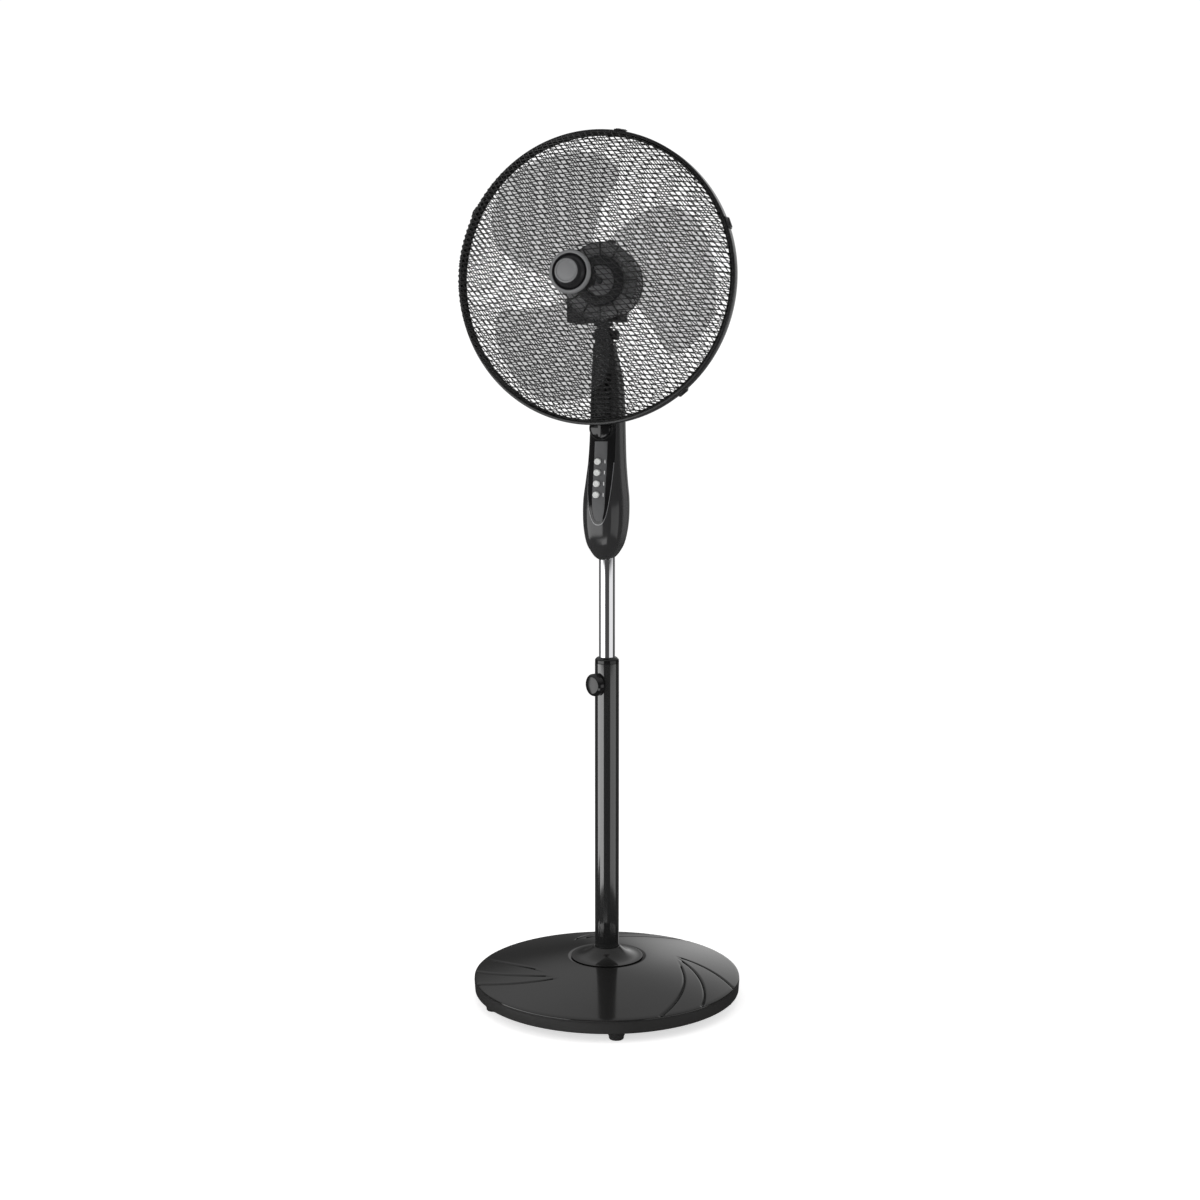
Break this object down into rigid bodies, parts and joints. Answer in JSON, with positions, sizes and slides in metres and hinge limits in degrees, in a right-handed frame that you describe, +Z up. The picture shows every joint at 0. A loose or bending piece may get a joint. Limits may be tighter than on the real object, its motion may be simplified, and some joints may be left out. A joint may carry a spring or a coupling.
{
  "type": "pedestal fan",
  "caption": "Floor-standing fan with a round weighted base, telescopic column, control housing and a tilting, oscillating guarded head.",
  "frame": {"origin": "centre of the round base on the floor", "axes": "+Z up along the column, -Y the way the fan blows"},
  "size_m": [0.433, 0.422, 1.3382],
  "materials": {
    "base_gloss": "warm dark grey high gloss",
    "tube_paint": "dark grey gloss enamel",
    "black_gloss": "piano black",
    "housing_gloss": "dark grey gloss",
    "strip_grey": "satin mid grey",
    "button_grey": "satin light grey",
    "chrome": "mirror",
    "steel": "zinc plated",
    "cast_iron": "rough",
    "black_plastic": "satin black",
    "rubber": "matt",
    "guard_black": "black powder coated wire",
    "ring_black": "satin black",
    "smoky_blade": "translucent smoky grey",
    "badge_grey": "silver grey satin"
  },
  "bodies": {
    "stand": {"base_cover": "base_gloss", "base_collar": "base_gloss", "base_plate": "black_plastic", "base_weight": "cast_iron", "foot_1": "rubber", "foot_2": "rubber", "foot_3": "rubber", "foot_4": "rubber", "foot_5": "rubber", "column_flange": "steel", "base_bolt": "steel", "base_nut": "steel", "outer_tube": "tube_paint", "top_bush": "black_gloss"},
    "lock_knob": {"lock_knob": "black_gloss"},
    "mast": {"inner_tube": "chrome", "guide_bush": "black_plastic", "housing_front": "housing_gloss", "housing_back": "housing_gloss", "control_panel": "black_gloss", "panel_strip": "strip_grey", "neck_ribs": "black_gloss", "switch_block": "black_plastic", "timer_unit": "black_plastic", "tube_socket": "black_plastic", "housing_screw_1": "steel", "housing_screw_2": "steel", "cord_gland": "black_plastic", "neck_fork": "black_plastic", "tilt_bolt": "steel"},
    "speed_button_0": {"speed_button_0": "button_grey"},
    "speed_button_1": {"speed_button_1": "button_grey"},
    "speed_button_2": {"speed_button_2": "button_grey"},
    "speed_button_3": {"speed_button_3": "button_grey"},
    "timer_knob": {"timer_knob": "black_gloss"},
    "tilt_knob": {"tilt_knob": "black_plastic"},
    "tilt": {"tilt_bracket": "black_plastic", "osc_pin": "steel"},
    "crank_link": {"crank_link": "steel"},
    "head": {"motor_front": "black_plastic", "motor_cover": "black_plastic", "stator": "steel", "rear_guard": "guard_black", "guard_nut": "black_plastic", "front_guard": "guard_black", "guard_ring": "ring_black", "ring_clip_1": "black_plastic", "ring_clip_2": "black_plastic", "ring_clip_3": "black_plastic", "ring_clip_4": "black_plastic", "badge_ring": "badge_grey", "badge_disc": "badge_grey", "head_bracket": "black_plastic", "gearbox": "black_plastic"},
    "crank_disc": {"crank_disc": "steel"},
    "osc_knob": {"osc_knob": "black_gloss"},
    "rotor": {"rotor_shaft": "steel", "fan_blades": "smoky_blade", "spinner": "black_plastic"}
  },
  "joints": [
    {"name": "height_slide", "type": "slide", "parent": "stand", "child": "mast", "axis": [0, 0, 1], "range_m": [-0.145, 0.05]},
    {"name": "lock_turn", "type": "hinge", "parent": "stand", "child": "lock_knob", "pos_m": [0, 0, 0.502], "axis": [-0.4695, -0.8829, 0], "range_deg": [-330, 0]},
    {"name": "button_0_press", "type": "slide", "parent": "mast", "child": "speed_button_0", "axis": [0, 1, 0], "range_m": [0, 0.003], "stiffness_N_per_m": 150},
    {"name": "button_1_press", "type": "slide", "parent": "mast", "child": "speed_button_1", "axis": [0, 1, 0], "range_m": [0, 0.003], "stiffness_N_per_m": 150},
    {"name": "button_2_press", "type": "slide", "parent": "mast", "child": "speed_button_2", "axis": [0, 1, 0], "range_m": [0, 0.003], "stiffness_N_per_m": 150},
    {"name": "button_3_press", "type": "slide", "parent": "mast", "child": "speed_button_3", "axis": [0, 1, 0], "range_m": [0, 0.003], "stiffness_N_per_m": 150},
    {"name": "timer_turn", "type": "hinge", "parent": "mast", "child": "timer_knob", "pos_m": [0, -0.03, 0.899], "axis": [0, 1, 0], "range_deg": [0, 300]},
    {"name": "tilt_knob_turn", "type": "hinge", "parent": "mast", "child": "tilt_knob", "pos_m": [0.016, -0.014, 1.04], "axis": [1, 0, 0], "range_deg": [0, 330]},
    {"name": "head_tilt", "type": "hinge", "parent": "mast", "child": "tilt", "pos_m": [0, -0.014, 1.04], "axis": [-1, 0, 0], "range_deg": [-2.5, 18]},
    {"name": "oscillation", "type": "hinge", "parent": "tilt", "child": "head", "pos_m": [0, -0.014, 1.06], "axis": [0, 0, 1], "range_deg": [-40, 40]},
    {"name": "link_swing", "type": "hinge", "parent": "tilt", "child": "crank_link", "pos_m": [-0.012, -0.014, 1.059], "axis": [0, 0, 1], "range_deg": [-40, 40]},
    {"name": "crank_turn", "type": "hinge", "parent": "head", "child": "crank_disc", "pos_m": [-0.012, 0.036, 1.0628], "axis": [0, 0, 1], "range_deg": [-90, 90]},
    {"name": "osc_pull", "type": "slide", "parent": "head", "child": "osc_knob", "axis": [0, 0, 1], "range_m": [0, 0.008]},
    {"name": "rotor_spin", "type": "hinge", "parent": "head", "child": "rotor", "pos_m": [0, -0.07, 1.12], "axis": [0, 1, 0], "continuous": true}
  ],
  "couplings": [
    {"joint": "link_swing", "follows": "oscillation", "ratio": 1},
    {"joint": "crank_turn", "follows": "oscillation", "ratio": -2.25}
  ]
}
